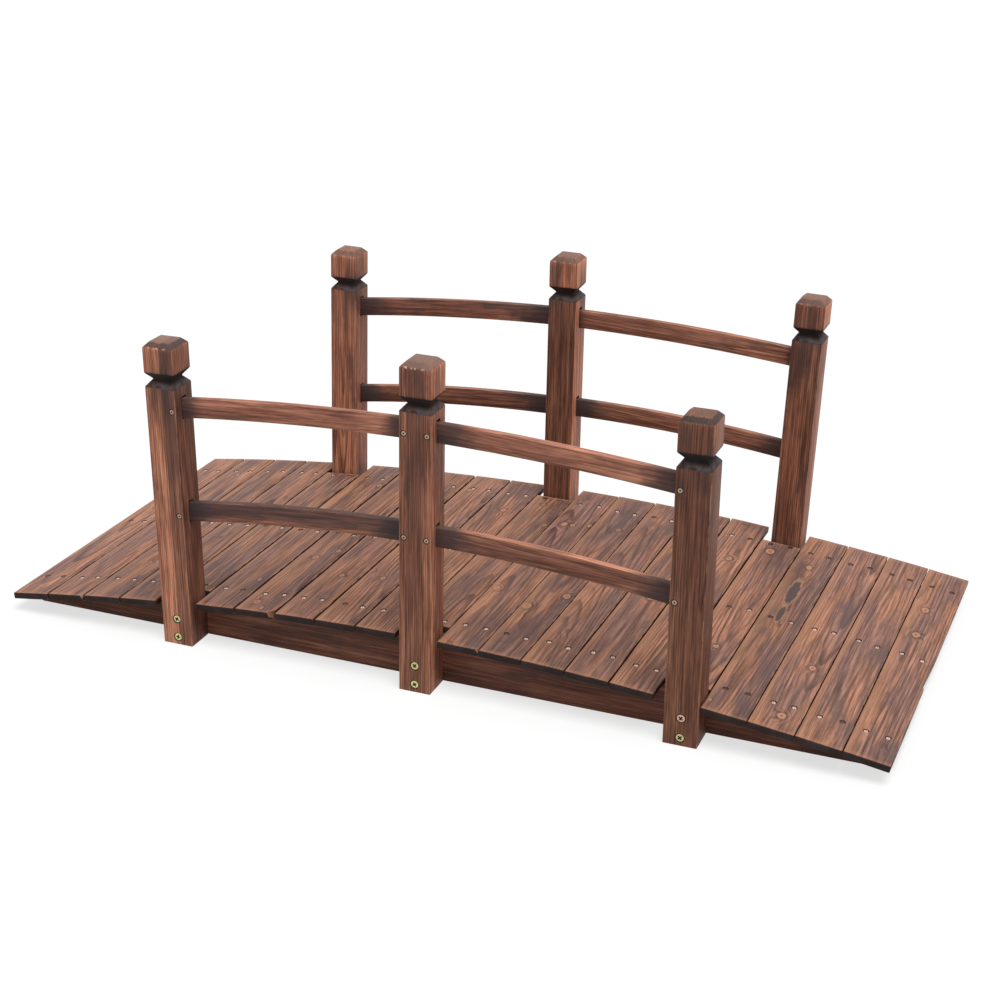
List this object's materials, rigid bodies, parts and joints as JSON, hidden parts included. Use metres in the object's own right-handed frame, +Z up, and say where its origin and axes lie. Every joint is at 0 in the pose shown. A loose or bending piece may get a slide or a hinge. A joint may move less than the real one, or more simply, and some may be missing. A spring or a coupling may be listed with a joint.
{
  "type": "garden moon bridge",
  "caption": "Arched garden footbridge in stained fir, with a curved plank deck on flat-footed beams and low railings of posts and bowed rails on both sides.",
  "frame": {"origin": "on the ground, under the middle of the deck", "axes": "+X along the bridge, from the left end to the right end seen from the near railing; +Y across the bridge, from the near railing to the far one; +Z up"},
  "size_m": [1.5092, 0.6926, 0.5477],
  "materials": {
    "deck_wood": "satin stain over planed fir with scorched ends",
    "beam_wood": "dark satin stain over planed fir",
    "post_wood": "satin stain over planed fir, grooves scorched black",
    "rail_wood": "satin stain over planed fir, scorched in patches"
  },
  "bodies": {
    "root": {"plank_01": "deck_wood", "plank_02": "deck_wood", "plank_03": "deck_wood", "plank_04": "deck_wood", "plank_05": "deck_wood", "plank_06": "deck_wood", "plank_07": "deck_wood", "plank_08": "deck_wood", "plank_09": "deck_wood", "plank_10": "deck_wood", "plank_11": "deck_wood", "plank_12": "deck_wood", "plank_13": "deck_wood", "plank_14": "deck_wood", "plank_15": "deck_wood", "plank_16": "deck_wood", "plank_17": "deck_wood", "plank_18": "deck_wood", "plank_19": "deck_wood", "plank_20": "deck_wood", "plank_21": "deck_wood", "beam_near": "beam_wood", "beam_middle": "beam_wood", "beam_far": "beam_wood", "post_near_left": "post_wood", "post_near_mid": "post_wood", "post_near_right": "post_wood", "post_far_left": "post_wood", "post_far_mid": "post_wood", "post_far_right": "post_wood", "rail_near_left_upper": "rail_wood", "rail_near_right_upper": "rail_wood", "rail_near_left_lower": "rail_wood", "rail_near_right_lower": "rail_wood", "rail_far_left_upper": "rail_wood", "rail_far_right_upper": "rail_wood", "rail_far_left_lower": "rail_wood", "rail_far_right_lower": "rail_wood"}
  },
  "joints": []
}
